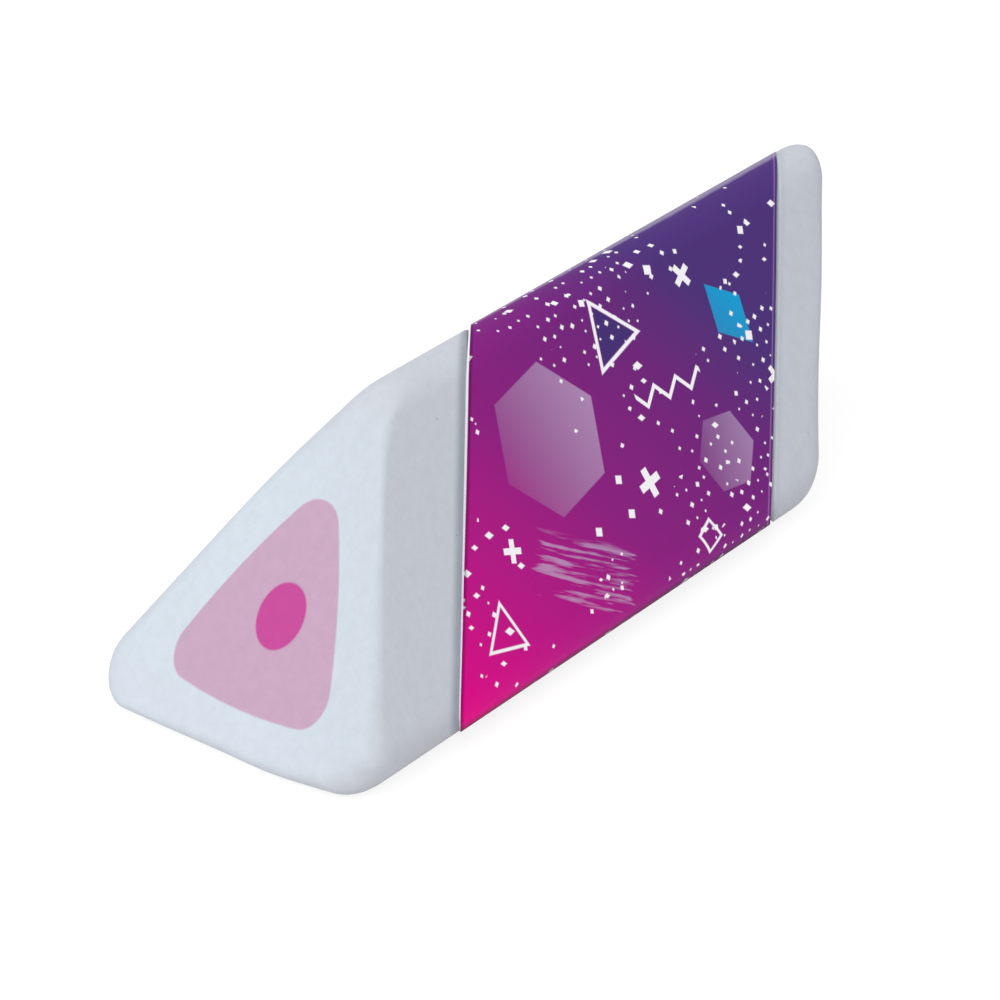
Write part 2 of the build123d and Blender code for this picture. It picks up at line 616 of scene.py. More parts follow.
@dataclass(frozen=True)
class RubberFinish:
    """Matte rubber whose layers run into each other a little where they meet."""

    bar: Bar
    ends: SleeveEnds
    white: Colour = paint(195, 204, 213)
    handled: Colour = paint(196, 200, 209)
    pink: Colour = paint(184, 152, 176)
    magenta: Colour = paint(182, 62, 140)
    # Colour of the painted shadow beside the card's edges
    card_shadow: Colour = paint(150, 158, 167)
    speck: Colour = paint(120, 128, 134)
    # Colour of the painted shade low on the front face, near the floor
    foot_shade: Colour = paint(142, 134, 120)
    bleed: float = 0.12 * MM
    cloud_size: float = 0.8 * MM
    cloud_depth: float = 0.11
    grain_size: float = 0.14 * MM
    grain_height: float = 0.003 * MM
    wave_size: float = 5.0 * MM
    wave_height: float = 0.05 * MM
    speck_pitch: float = 2.4 * MM
    speck_radius: float = 0.11 * MM
    speck_soft: float = 0.06 * MM
    speck_share: float = 0.45
    speck_cover: float = 0.45
    # Reach and patchiness of the painted shadow beside the card's edges, weaker at the far end
    card_shadow_full: float = 0.35 * MM
    card_shadow_reach: float = 1.25 * MM
    card_shadow_under: float = 0.2 * MM
    card_shadow_patch: float = 2.5 * MM
    card_shadow_uneven: float = 0.4
    far_card_shadow: float = 0.25
    edge_width: float = 0.8 * MM
    # Painted shade towards the far end, and on the ends towards the front edge
    far_shade: float = 0.05
    front_shade: float = 0.065
    front_shade_width: float = 5.0 * MM
    # Painted shade low on the front face, near the floor
    foot_shade_height: float = 3.2 * MM
    foot_shade_share: float = 0.45
    roughness: float = 0.6
    roughness_spread: float = 0.15
    specular: float = 0.3

    def material(self, layer: Layer) -> bpy.types.Material:
        """Make one layer's material.

        Args:
            layer: The layer that gets it.

        Returns:
            The rubber.
        """
        made = bpy.data.materials.new(layer.slot)
        recipe = Recipe(made)
        where = recipe.position()
        capped = self._capped(recipe, where)
        colour = self._layers(recipe, where, capped)
        if layer is Layer.JACKET:
            # Painted shadow on the long faces beside the card's edges
            colour = recipe.mix(self._card_shadow_share(recipe, where) * (1.0 - capped), colour, self.card_shadow)
        clouds = recipe.noise(where, 1 / self.cloud_size, detail=5, rough=0.8)
        colour = recipe.tint(colour, clouds.around(1.0, 2 * self.cloud_depth))
        colour = recipe.mix(self._specks(recipe, where), colour, self.speck)
        grain = recipe.noise(where, 1 / self.grain_size, detail=3, rough=0.7)
        waves = recipe.noise(where, 1 / self.wave_size, detail=1)
        recipe.surface({
            "Base Color": colour,
            "Roughness": grain.around(self.roughness, self.roughness_spread),
            "Specular IOR Level": self.specular,
            "Normal": recipe.bump(grain * self.grain_height + waves * self.wave_height),
        })
        return made

    def _capped(self, recipe: Recipe, where: Signal) -> Signal:
        """1 on the bar's ends and 0 on its long faces, easing over the edges between them.

        Args:
            recipe: The finish that is made.
            where: The piece's own coordinates.

        Returns:
            The mask.
        """
        along, _, height = recipe.parts(where)
        from_end = abs(along - height * self.bar.slope) - self.bar.half_length
        return (1.0 + from_end / self.edge_width).clamped()

    def _layers(self, recipe: Recipe, where: Signal, capped: Signal) -> Signal:
        """Colour of the section at any point: white outside, then pink, then the core.

        Args:
            recipe: The finish that is made.
            where: The piece's own coordinates.
            capped: 1 on the bar's ends and 0 on its long faces.

        Returns:
            The colour.
        """
        _, across, height = recipe.parts(where)
        up = height - self.bar.axis_height
        pink = PinkOutline(self.bar).distance(across, up).inside(self.bleed)
        from_core = hypotenuse(across + self.bar.core_forward, up - self.bar.core_raise)
        core = (from_core - self.bar.core_radius).inside(self.bleed)
        colour = recipe.mix(pink, self._white(recipe, where, capped), self.pink)
        return recipe.mix(core, colour, self.magenta)

    def _white(self, recipe: Recipe, where: Signal, capped: Signal) -> Signal:
        """White rubber, clean on its ends and a little greyer on the long faces that are held, with painted
        shade towards the far end, on the ends towards the front edge, and low on the front face near the
        floor.

        Args:
            recipe: The finish that is made.
            where: The piece's own coordinates.
            capped: 1 on the bar's ends and 0 on its long faces.

        Returns:
            The colour.
        """
        along, across, height = recipe.parts(where)
        from_middle = along - height * self.bar.slope
        to_front = (height / math.sqrt(3) - across) / 2 - self.bar.inradius + self.front_shade_width
        fronted = (to_front / self.front_shade_width).clamped()
        # Painted shade towards the far end, and on the ends towards the front edge
        far_shade = (from_middle / self.bar.half_length).clamped() * self.far_shade
        colour = recipe.mix(capped, self.handled, self.white)
        colour = recipe.tint(colour, 1.0 - far_shade - fronted * capped * self.front_shade)
        # Painted shade low on the long faces near the front edge, near the floor
        low = (1.0 - height / self.foot_shade_height).clamped()
        return recipe.mix(low * low * fronted * (1.0 - capped) * self.foot_shade_share, colour, self.foot_shade)

    def _card_shadow_share(self, recipe: Recipe, where: Signal) -> Signal:
        """Painted shadow: a grey line on the rubber beside the card's edge at each end of the sleeve.

        Args:
            recipe: The finish that is made.
            where: The piece's own coordinates.

        Returns:
            How much of the painted shadow there is.
        """
        near = self._card_shadowed(0.0 - self.ends.near.past(recipe, where))
        far = self._card_shadowed(self.ends.far.past(recipe, where))
        patches = recipe.noise(where, 1 / self.card_shadow_patch, detail=3)
        return ((near + far * self.far_card_shadow) * patches.around(1.0, self.card_shadow_uneven)).clamped()

    def _card_shadowed(self, outside: Signal) -> Signal:
        """Share of painted shadow, at a distance outside an end of the sleeve."""
        share = ((self.card_shadow_reach - outside) / (self.card_shadow_reach - self.card_shadow_full)).clamped()
        return eased(share) * (outside > -self.card_shadow_under)

    def _specks(self, recipe: Recipe, where: Signal) -> Signal:
        """Tiny dark specks, each in its own cell, with many cells bare.

        Args:
            recipe: The finish that is made.
            where: The piece's own coordinates.

        Returns:
            How dark it is.
        """
        cells = recipe.node("ShaderNodeTexVoronoi", None, {"Vector": where, "Scale": 1 / self.speck_pitch})
        distance = Signal(recipe, cells.outputs["Distance"]) * self.speck_pitch
        chance, _, _ = recipe.parts(Signal(recipe, cells.outputs["Color"]))
        spots = (distance - self.speck_radius * chance).inside(self.speck_soft)
        return spots * (chance > 1 - self.speck_share) * self.speck_cover


@dataclass(frozen=True)
class CardFinish:
    """Bare white card: short fibres and a slight tooth."""

    name: str
    colour: Colour
    fibre: Colour
    fibre_size: float = 0.25 * MM
    fibre_start: float = 0.4
    fibre_contrast: float = 2.5
    tooth: float = 0.01 * MM
    roughness: float = 0.8
    roughness_spread: float = 0.2
    specular: float = 0.3

    def material(self) -> bpy.types.Material:
        """Make the material.

        Returns:
            The card.
        """
        made = bpy.data.materials.new(self.name)
        recipe = Recipe(made)
        fibres = recipe.noise(recipe.position(), 1 / self.fibre_size, detail=5, rough=0.7)
        between = ((fibres - self.fibre_start) * self.fibre_contrast).clamped()
        recipe.surface({
            "Base Color": recipe.mix(between, self.fibre, self.colour),
            "Roughness": fibres.around(self.roughness, self.roughness_spread),
            "Specular IOR Level": self.specular,
            "Normal": recipe.bump(fibres, self.tooth),
        })
        return made


@dataclass(frozen=True)
class GlueFinish:
    """Dried glue: a yellowish film with tiny bubbles."""

    name: str = "glue"
    colour: Colour = paint(226, 219, 200)
    bubble: Colour = paint(240, 238, 228)
    bubble_pitch: float = 0.5 * MM
    bubble_radius: float = 0.3
    bubble_soft: float = 0.2
    bubble_cover: float = 0.7
    bubble_height: float = 0.01 * MM
    roughness: float = 0.35
    bubble_roughness: float = 0.2

    def material(self) -> bpy.types.Material:
        """Make the material.

        Returns:
            The glue.
        """
        made = bpy.data.materials.new(self.name)
        recipe = Recipe(made)
        sockets = {"Vector": recipe.position(), "Scale": 1 / self.bubble_pitch}
        distance = recipe.signal("ShaderNodeTexVoronoi", "Distance", None, sockets)
        bubbles = (distance - self.bubble_radius).inside(self.bubble_soft)
        recipe.surface({
            "Base Color": recipe.mix(bubbles * self.bubble_cover, self.colour, self.bubble),
            "Roughness": self.roughness + bubbles * self.bubble_roughness,
            "Normal": recipe.bump(bubbles, self.bubble_height),
        })
        return made


@dataclass(frozen=True)
class Place:
    """A point of the print, in millimetres along the bar and up the front panel from its middle."""

    along: Signal
    up: Signal

    def seen_from(self, along: Feed, up: Feed) -> Place:
        """The same point measured from another one."""
        return Place(self.along - along, self.up - up)

    def turned(self, degrees: float) -> Place:
        """The same point on the axes of a motif that is drawn turned by these degrees."""
        ahead = way(degrees)
        return Place(self.along * ahead.x + self.up * ahead.y, self.up * ahead.x - self.along * ahead.y)


# Ways out of a slanted side, in shares along the bar and up
SLANT_ALONG, SLANT_UP = way(30)
LOZENGE_ALONG, LOZENGE_UP = 0.85, 0.544
# Length of a plus's arm over half its width
PLUS_ARM = 3.6


class Motif(Enum):
    """Plain shapes of the print."""

    HEXAGON = "hexagon"
    LOZENGE = "lozenge"
    TRIANGLE = "triangle"
    SQUARE = "square"
    PLUS = "plus"

    def edge(self, place: Place, size: Feed) -> Signal:
        """Signed distance to the motif's outline.

        Args:
            place: Point measured from the motif's middle.
            size: Distance from the middle to a side, or along an arm.

        Returns:
            The distance, negative inside.
        """
        along, up = abs(place.along), abs(place.up)
        match self:
            case Motif.HEXAGON:
                return (along * SLANT_ALONG + up * SLANT_UP).top(up) - size
            case Motif.LOZENGE:
                return along * LOZENGE_ALONG + up * LOZENGE_UP - size
            case Motif.TRIANGLE:
                return (along * SLANT_ALONG + place.up * SLANT_UP).top(0.0 - place.up) - size
            case Motif.SQUARE:
                return along.top(up) - size
            case Motif.PLUS:
                return along.top(up * PLUS_ARM).least(up.top(along * PLUS_ARM)) - size


@dataclass(frozen=True)
class Stamp:
    """One motif at its own place in the print."""

    motif: Motif
    colour: Colour
    along: float
    up: float
    size: float
    turn: float
    cover: float = 1.0
    fade: float = 0.0
    fade_reach: float = 2.2
    line: float = 0.0
    soft: float = 0.08

    def over(self, recipe: Recipe, place: Place, colour: Signal) -> Signal:
        """Print the motif.

        Args:
            recipe: The finish that is printed.
            place: Point of the print.
            colour: What is already printed there.

        Returns:
            The colour with the motif on it.
        """
        local = place.seen_from(self.along, self.up).turned(self.turn)
        edge = self.motif.edge(local, self.size)
        if self.line:
            edge = abs(edge) - self.line
        cover = edge.inside(self.soft) * self.cover
        if self.fade:
            faded = (0.5 - local.along / (self.fade_reach * self.size)).clamped()
            cover = cover * (1.0 - self.fade * faded)
        return recipe.mix(cover, colour, self.colour)


@dataclass(frozen=True)
class Scatter:
    """Many small motifs, one to a cell, thrown about with gaps."""

    motif: Motif
    pitch: float
    size: float
    share: float
    turn: float
    seed: float
    crowd: float = 0.0
    crowd_size: float = 8.5
    wander: float = 0.4
    smallest: float = 0.35
    soft: float = 0.07

    def cover(self, recipe: Recipe, place: Place) -> Signal:
        """Mask of the motifs.

        Args:
            recipe: The finish that is printed.
            place: Point of the print.

        Returns:
            1 on a motif, 0 between them.
        """
        along, up = place.along / self.pitch, place.up / self.pitch
        cell = Place(recipe.math("FLOOR", along), recipe.math("FLOOR", up))
        key = recipe.vector(cell.along, cell.up, self.seed)
        dice = recipe.node("ShaderNodeTexWhiteNoise", {"noise_dimensions": "3D"}, {"Vector": key})
        first, second, third = recipe.parts(Signal(recipe, dice.outputs["Color"]))
        chance = Signal(recipe, dice.outputs["Value"])
        from_middle = Place(
            (along - cell.along - first.around(0.5, self.wander)) * self.pitch,
            (up - cell.up - second.around(0.5, self.wander)) * self.pitch,
        )
        size = self.size * (self.smallest + third * (1 - self.smallest))
        edge = self.motif.edge(from_middle.turned(self.turn), size)
        wanted = self.share
        if self.crowd:
            broad = recipe.vector(place.along, place.up, self.seed)
            crowds = recipe.noise(broad, 1 / self.crowd_size, detail=1)
            wanted = crowds.around(self.share, self.crowd).clamped()
        return edge.inside(self.soft) * (chance < wanted)


@dataclass(frozen=True)
class Strokes:
    """Rough dry-brush strokes, side by side on a slant, in millimetres."""

    colour: Colour
    along: float = -8.0
    up: float = -6.2
    turn: float = -32
    half_length: float = 4.2
    length_soft: float = 0.4
    half_width: float = 2.1
    width_soft: float = 0.5
    streak_length: float = 5.0
    streak_width: float = 0.42
    streak_seed: float = 2.0
    ragged: float = 4.0
    ragged_width: float = 0.55
    ragged_seed: float = 4.0
    contrast: float = 9.0
    cover: float = 0.62

    def over(self, recipe: Recipe, place: Place, colour: Signal) -> Signal:
        """Print the strokes.

        Args:
            recipe: The finish that is printed.
            place: Point of the print.
            colour: What is already printed there.

        Returns:
            The colour with the strokes on it.
        """
        local = place.seen_from(self.along, self.up).turned(self.turn)
        grain = (local.along / self.streak_length, local.up / self.streak_width, self.streak_seed)
        rough = recipe.noise(recipe.vector(*grain), 1.0, detail=3, rough=0.6)
        ends = recipe.noise(recipe.vector(local.up / self.ragged_width, self.ragged_seed, 1.0), 1.0, detail=1)
        inked = rough.around(0.0, self.contrast).clamped()
        in_width = (abs(local.up) - self.half_width).inside(self.width_soft)
        in_length = (abs(ends.around(local.along, self.ragged)) - self.half_length).inside(self.length_soft)
        return recipe.mix(inked * in_width * in_length * self.cover, colour, self.colour)


@dataclass(frozen=True)
class Zigzag:
    """A zigzag line, in millimetres."""

    colour: Colour
    along: float = 5.4
    up: float = 1.2
    turn: float = -6
    half_length: float = 3.3
    rise: float = 1.1
    phase: float = 20.0
    half_line: float = 0.19
    soft: float = 0.08

    def over(self, recipe: Recipe, place: Place, colour: Signal) -> Signal:
        """Print the line.

        Args:
            recipe: The finish that is printed.
            place: Point of the print.
            colour: What is already printed there.

        Returns:
            The colour with the line on it.
        """
        local = place.seen_from(self.along, self.up).turned(self.turn)
        wave = recipe.math("PINGPONG", local.along + self.phase, self.rise) - self.rise / 2
        on_line = (abs(local.up - wave) - self.half_line).inside(self.soft)
        in_length = (abs(local.along) - self.half_length).inside(self.soft)
        return recipe.mix(on_line * in_length, colour, self.colour)


@dataclass(frozen=True)
class Ground:
    """The print's change of colour, from magenta at the lower left to indigo at the upper right.

    Its stops are in millimetres along a slant.
    """

    slant: float = 35.0
    start: float = -9.25
    gain: float = 1.08
    stops: tuple[tuple[float, Colour], ...] = (
        (-18.0, paint(226, 2, 132)),
        (-8.0, paint(183, 22, 131)),
        (2.0, paint(138, 32, 125)),
        (13.0, paint(109, 38, 120)),
        (20.0, paint(76, 50, 118)),
    )

    def colour(self, recipe: Recipe, place: Place) -> Signal:
        """Colour under the motifs.

        Args:
            recipe: The finish that is printed.
            place: Point of the print.

        Returns:
            The colour.
        """
        first, last = self.stops[0][0], self.stops[-1][0]
        stops = [((stop - first) / (last - first), self._inked(colour)) for stop, colour in self.stops]
        ahead = place.seen_from(self.start, 0.0).turned(self.slant).along
        return recipe.signal("ShaderNodeValToRGB", 0, {"stops": stops}, {0: (ahead - first) / (last - first)})

    def _inked(self, colour: Colour) -> Colour:
        """The ink that looks like this colour in the studio's light."""
        red, green, blue, alpha = colour
        return (red * self.gain, green * self.gain, blue * self.gain, alpha)


@dataclass(frozen=True)
class PrintLightAndWear:
    """Painted light and shade on the print's folds, and what cutting and handling have done to the print, in
    millimetres.

    The ink has a painted highlight on the ridge fold, painted light just above the lower fold and painted
    shade down on it. At the near end the white card shows past the ink, with a dark line beside it, and at
    the far end a thin line is rubbed.
    """

    bare: Colour = paint(250, 247, 253)
    # Colour of the painted highlight on the ridge fold
    ridge_highlight_colour: Colour = paint(232, 226, 240)
    rubbed: Colour = paint(196, 168, 206)
    soft: float = 0.08
    # Painted shade down on the lower fold, and painted light just above it
    shade_start: float = 10.2
    shade_stop: float = 13.4
    shade_width: float = 1.0
    shade: float = 0.9
    fold_light_start: float = 8.0
    fold_light_width: float = 2.2
    fold_light: float = 0.2
    # Painted highlight on the ridge fold, with a ragged edge
    ridge_highlight_start: float = 11.25
    ridge_highlight_end: float = 13.0
    ridge_highlight_taper: float = 0.03
    ridge_highlight_soft: float = 0.35
    ridge_highlight_stop: float = 13.3
    ridge_highlight: float = 0.28
    ragged_size: float = 0.8
    ragged: float = 0.2
    rubbed_in: float = 0.3
    rubbed_width: float = 0.14
    rubbed_cover: float = 0.3
    margin: float = 0.17
    margin_start: float = -2.0
    margin_span: float = 13.0
    line: float = 0.3
    line_soft: float = 0.25
    line_dark: float = 0.45

    def over(self, recipe: Recipe, place: Place, colour: Signal) -> Signal:
        """Paint light and shade on the print's folds, and wear the print.

        Args:
            recipe: The finish that is printed.
            place: Point of the print.
            colour: What is printed there.

        Returns:
            The colour with painted light and shade, and wear.
        """
        # Painted light just above the lower fold, and painted shade down on it
        into_shade = ((-self.shade_start - place.up) / self.shade_width).clamped()
        out_of_shade = ((self.shade_stop + place.up) / self.shade_width).clamped()
        fold_lit = ((-self.fold_light_start - place.up) / self.fold_light_width).clamped()
        lit = fold_lit * self.fold_light - into_shade * self.shade
        colour = recipe.tint(colour, 1.0 + lit * out_of_shade)
        # Painted highlight on the ridge fold
        colour = recipe.mix(self._ridge_highlighted(recipe, place), colour, self.ridge_highlight_colour)
        from_far = recipe.measure(CardSleeve.far_name) / MM
        from_line = abs(from_far - self.rubbed_in) - self.rubbed_width / 2
        colour = recipe.mix(from_line.inside(self.soft) * self.rubbed_cover, colour, self.rubbed)
        from_near = recipe.measure(CardSleeve.near_name) / MM
        from_ink = from_near - ((place.up - self.margin_start) / self.margin_span).clamped() * self.margin
        beside = (from_ink - self.line).inside(self.line_soft)
        colour = recipe.tint(colour, 1.0 - beside * self.line_dark)
        return recipe.mix(from_ink.inside(self.soft) * (place.up > self.margin_start), colour, self.bare)

    def _ridge_highlighted(self, recipe: Recipe, place: Place) -> Signal:
        """How much painted highlight the ridge fold gets, in a strip that narrows towards the near end.

        Args:
            recipe: The finish that is printed.
            place: Point of the print.

        Returns:
            The share of pale painted highlight.
        """
        noise = recipe.noise(recipe.position(), 1 / (self.ragged_size * MM), detail=3)
        start = self.ridge_highlight_start + (self.ridge_highlight_end - place.along).top(0.0) * self.ridge_highlight_taper
        strip = (noise.around(place.up, self.ragged) - start) / self.ridge_highlight_soft
        past = (self.ridge_highlight_stop - place.up) / self.ridge_highlight_soft
        return strip.clamped() * past.clamped() * self.ridge_highlight


@dataclass(frozen=True)
class PrintFinish:
    """Satin print on card: a change of colour under plain shapes and confetti."""

    front_middle: tuple[float, float]
    name: str = "printed_card"
    tooth_size: float = 0.3 * MM
    tooth_height: float = 0.0012 * MM
    warp_size: float = 9.0 * MM
    warp_height: float = 0.05 * MM
    depth: float = 0.985
    depth_spread: float = 0.05
    roughness: float = 0.5
    roughness_spread: float = 0.12
    specular: float = 0.03
    white: Colour = paint(250, 247, 252)
    lilac: Colour = paint(196, 168, 206)
    indigo: Colour = paint(72, 50, 118)
    cyan: Colour = paint(22, 160, 215)

    def stamps(self) -> list[Stamp]:
        """The motifs that have places of their own.

        Returns:
            The motifs, from the lowest up.
        """
        return [
            Stamp(Motif.HEXAGON, self.lilac, along=-6.4, up=2.4, size=4.3, turn=12, cover=0.62, fade=0.85),
            Stamp(Motif.HEXAGON, self.lilac, along=8.2, up=-4.4, size=2.4, turn=-8, cover=0.55, fade=0.8),
            Stamp(Motif.LOZENGE, self.cyan, along=13.4, up=3.4, size=1.5, turn=24, fade=0.25),
            Stamp(Motif.TRIANGLE, self.indigo, along=2.2, up=6.2, size=1.1, turn=14),
            Stamp(Motif.TRIANGLE, self.white, along=2.2, up=6.2, size=1.3, turn=14, line=0.13),
            Stamp(Motif.PLUS, self.white, along=0.4, up=-3.4, size=1.0, turn=8),
            Stamp(Motif.PLUS, self.white, along=10.6, up=7.2, size=0.85, turn=30),
            Stamp(Motif.PLUS, self.white, along=-13.2, up=-2.4, size=0.75, turn=-20),
            Stamp(Motif.PLUS, self.white, along=15.3, up=-1.8, size=0.7, turn=15),
            Stamp(Motif.TRIANGLE, self.white, along=-16.4, up=-6.6, size=0.95, turn=-14, line=0.1),
            Stamp(Motif.SQUARE, self.white, along=3.8, up=-8.6, size=0.75, turn=25, line=0.1),
        ]

    def scatters(self) -> list[Scatter]:
        """The small motifs that are thrown about.

        Returns:
            Each kind of them.
        """
        return [
            Scatter(Motif.SQUARE, pitch=0.95, size=0.15, share=0.1, turn=43, seed=4.0, crowd=3.2),
            Scatter(Motif.LOZENGE, pitch=1.5, size=0.26, share=0.1, turn=68, seed=8.0, crowd=2.4),
            Scatter(Motif.SQUARE, pitch=3.3, size=0.32, share=0.2, turn=68, seed=11.0),
        ]

    def material(self) -> bpy.types.Material:
        """Make the material.

        Returns:
            The printed side of the card.
        """
        made = bpy.data.materials.new(self.name)
        recipe = Recipe(made)
        place = self._place(recipe)
        colour = Ground().colour(recipe, place)
        colour = Strokes(self.lilac).over(recipe, place, colour)
        for stamp in self.stamps():
            colour = stamp.over(recipe, place, colour)
        for scatter in self.scatters():
            colour = recipe.mix(scatter.cover(recipe, place), colour, self.white)
        colour = Zigzag(self.white).over(recipe, place, colour)
        colour = PrintLightAndWear().over(recipe, place, colour)
        where = recipe.position()
        tooth = recipe.noise(where, 1 / self.tooth_size, detail=3)
        warp = recipe.noise(where, 1 / self.warp_size, detail=1)
        recipe.surface({
            "Base Color": recipe.tint(colour, tooth.around(self.depth, self.depth_spread)),
            "Roughness": tooth.around(self.roughness, self.roughness_spread),
            "Specular IOR Level": self.specular,
            "Normal": recipe.bump(tooth * self.tooth_height + warp * self.warp_height),
        })
        return made

    def _place(self, recipe: Recipe) -> Place:
        """Where a point of the card is in the print, from its map of the flat strip.

        Args:
            recipe: The finish that is printed.

        Returns:
            The point.
        """
        flat = recipe.signal("ShaderNodeUVMap", 0, {"uv_map": CardSleeve.map_name})
        along, up, _ = recipe.parts(flat)
        middle_along, middle_up = self.front_middle
        scale = CardSleeve.map_side / MM
        return Place(along * scale - middle_along / MM, up * scale - middle_up / MM)


@dataclass(frozen=True)
class Station:
    """One line of the card along the bar: its place in the section, and how far along the card it is."""

    across: float
    height: float
    card: float


class Outline:
    """Traces the card's outer side as seen from its end, with the rubber on the right hand."""

    def __init__(self, across: float, height: float, heading: float) -> None:
        """Start at one free edge.

        Args:
            across: Where it starts across the bar.
            height: Where it starts in height.
            heading: Way it starts off, in degrees from +Y towards +Z.
        """
        self.point = Vector((across, height))
        self.heading = math.radians(heading)
        self.card = 0.0
        self.stations = [Station(across, height, 0.0)]

    def run(self, length: float, steps: int, swell: float = 0.0) -> None:
        """Go straight on.

        Args:
            length: How far.
            steps: How many stations.
            swell: How far the middle stands out.
        """
        ahead = Vector((math.cos(self.heading), math.sin(self.heading)))
        outward = Vector((-ahead.y, ahead.x))
        for step in range(1, steps + 1):
            share = step / steps
            spot = self.point + ahead * (length * share) + outward * (swell * 4 * share * (1 - share))
            self.stations.append(Station(spot.x, spot.y, self.card + length * share))
        self.point = self.point + ahead * length
        self.card += length

    def bend(self, radius: float, degrees: float, steps: int) -> None:
        """Go round a bend.

        Args:
            radius: Its radius.
            degrees: How far it turns; below 0 is towards the rubber.
            steps: How many stations.
        """
        side = math.copysign(math.pi / 2, degrees)
        centre = self.point + radius * Vector((math.cos(self.heading + side), math.sin(self.heading + side)))
        arm = self.point - centre
        whole = math.radians(degrees)
        for step in range(1, steps + 1):
            turn = whole * step / steps
            spot = centre + Matrix.Rotation(turn, 2) @ arm
            self.stations.append(Station(spot.x, spot.y, self.card + radius * abs(turn)))
        self.point = centre + Matrix.Rotation(whole, 2) @ arm
        self.heading += whole
        self.card += radius * abs(whole)


class CardSide(Enum):
    """Faces of the card, by their place in its materials."""

    PRINTED = 0
    BARE = 1
    CUT = 2


@dataclass
class CardSleeve:
    """One strip of card, folded round the bar and lapped on its back."""

    map_name = "flat_strip"
    near_name = "from_near_end"
    far_name = "from_far_end"
    map_side = 80 * MM

    ends: SleeveEnds
    thickness: float = 0.2 * MM
    flap: float = 7.0 * MM
    edge_gap: float = 0.4 * MM
    step_clearance: float = 0.3 * MM
    step_length: float = 1.5 * MM
    step_radius: float = 2.0 * MM
    glue: float = 0.08 * MM
    swell: float = 0.05 * MM
    fold_steps: int = 20
    panel_steps: int = 8
    step_bend_steps: int = 4
    step_rise_steps: int = 2
    segments: int = 12
    bare: CardFinish = CardFinish("bare_card", paint(236, 233, 239), paint(222, 219, 227))
    cut: CardFinish = CardFinish("cut_card", paint(228, 225, 234), paint(216, 211, 223))

    @property
    def front_middle(self) -> tuple[float, float]:
        """Middle of the front panel in the map of the strip.

        Returns:
            Its place along the bar from the near foot, and round the card from the flap.
        """
        section = self.ends.section
        across, height = -section.reach / 2, section.reach * math.sqrt(3) / 2
        along = (self.ends.near.along(across, height) + self.ends.far.along(across, height)) / 2
        folds = 2 * section.fold_radius * math.radians(CORNER_TURN)
        return along - self.ends.near_foot, self.flap + section.panel + folds + section.panel / 2

    def build(self) -> bpy.types.Object:
        """Fold the card and dress it.

        Returns:
            The sleeve.
        """
        shape = self._folded(self._outline())
        self._thicken(shape)
        sleeve = add_piece("printed_sleeve", shape)
        for finish in (PrintFinish(self.front_middle), self.bare, self.cut):
            sleeve.data.materials.append(finish.material())
        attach(sleeve, "sleeve")
        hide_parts("card_sleeve")
        return sleeve

    def _outline(self) -> list[Station]:
        """Stations of the outer side, from the flap's free edge to the outer panel's.

        Returns:
            The stations, in order.
        """
        radius = self.ends.section.fold_radius
        panel = self.ends.section.panel
        low_across, low_height = self.ends.section.landing
        outline = Outline(
            low_across - self.flap * math.cos(math.radians(BACK_DOWN)),
            low_height - self.flap * math.sin(math.radians(BACK_DOWN)),
            heading=BACK_DOWN,
        )
        for width, swell in ((self.flap, 0.0), (panel, 0.0), (panel, self.swell)):
            outline.run(width, self.panel_steps, swell)
            outline.bend(radius, -CORNER_TURN, self.fold_steps)
        rise = self.thickness + self.glue
        tilt = math.degrees(math.atan2(rise, self.step_length))
        ease = math.tan(math.radians(tilt) / 2)
        upper = self.step_radius * ease
        lower = (self.step_radius + self.thickness) * ease
        to_step = panel - self.flap - self.step_clearance - self.step_length - upper
        outline.run(to_step, self.panel_steps)
        outline.bend(self.step_radius, tilt, self.step_bend_steps)
        outline.run(math.hypot(rise, self.step_length) - upper - lower, self.step_rise_steps)
        outline.bend(self.step_radius + self.thickness, -tilt, self.step_bend_steps)
        outline.run(self.flap + self.step_clearance - self.edge_gap - lower, self.panel_steps)
        return outline.stations

    def _folded(self, stations: list[Station]) -> bmesh.types.BMesh:
        """The outer side as one sheet, mapped as it was when the strip lay flat.

        Args:
            stations: Lines of the card along the bar, in order.

        Returns:
            The sheet.
        """
        shape = bmesh.new()
        step = shape.verts.layers.int.new("step")
        card = shape.verts.layers.float.new("card")
        from_near = shape.verts.layers.float.new(self.near_name)
        from_far = shape.verts.layers.float.new(self.far_name)
        seed = bmesh.ops.create_vert(shape, co=(0, 0, 0))["vert"]
        bmesh.ops.spin(shape, geom=seed, axis=(1, 0, 0), dvec=(1, 0, 0), angle=0, steps=self.segments)
        verts, edges = list(shape.verts), list(shape.edges)
        for place, vert in enumerate(verts):
            vert[step] = place
        for station in stations:
            if station is not stations[0]:
                verts, edges = grow_row(shape, edges)
            near = self.ends.near.along(station.across, station.height)
            far = self.ends.far.along(station.across, station.height)
            for vert in verts:
                run = (far - near) * vert[step] / self.segments
                vert.co = (near + run, station.across, station.height)
                vert[card] = station.card
                vert[from_near] = run
                vert[from_far] = far - near - run
        flat = shape.loops.layers.uv.new(self.map_name)
        for face in shape.faces:
            face.smooth = True
            for loop in face.loops:
                along = loop.vert.co.x - self.ends.near_foot
                loop[flat].uv = (along / self.map_side, loop.vert[card] / self.map_side)
        return shape

    def _thicken(self, shape: bmesh.types.BMesh) -> None:
        """Give the sheet its thickness, with its faces told apart.

        Args:
            shape: The sheet, which is changed.
        """
        printed = set(shape.faces)
        bmesh.ops.recalc_face_normals(shape, faces=list(printed))
        inner = bmesh.ops.solidify(shape, geom=list(printed), thickness=self.thickness)["geom"]
        bare = {part for part in inner if isinstance(part, bmesh.types.BMFace)}
        for face in shape.faces:
            side = CardSide.PRINTED if face in printed else CardSide.BARE if face in bare else CardSide.CUT
            face.material_index = side.value
            face.smooth = side is not CardSide.CUT
        bmesh.ops.recalc_face_normals(shape, faces=list(shape.faces))
        for edge in shape.edges:
            edge.smooth = len({face.material_index for face in edge.link_faces}) < 2


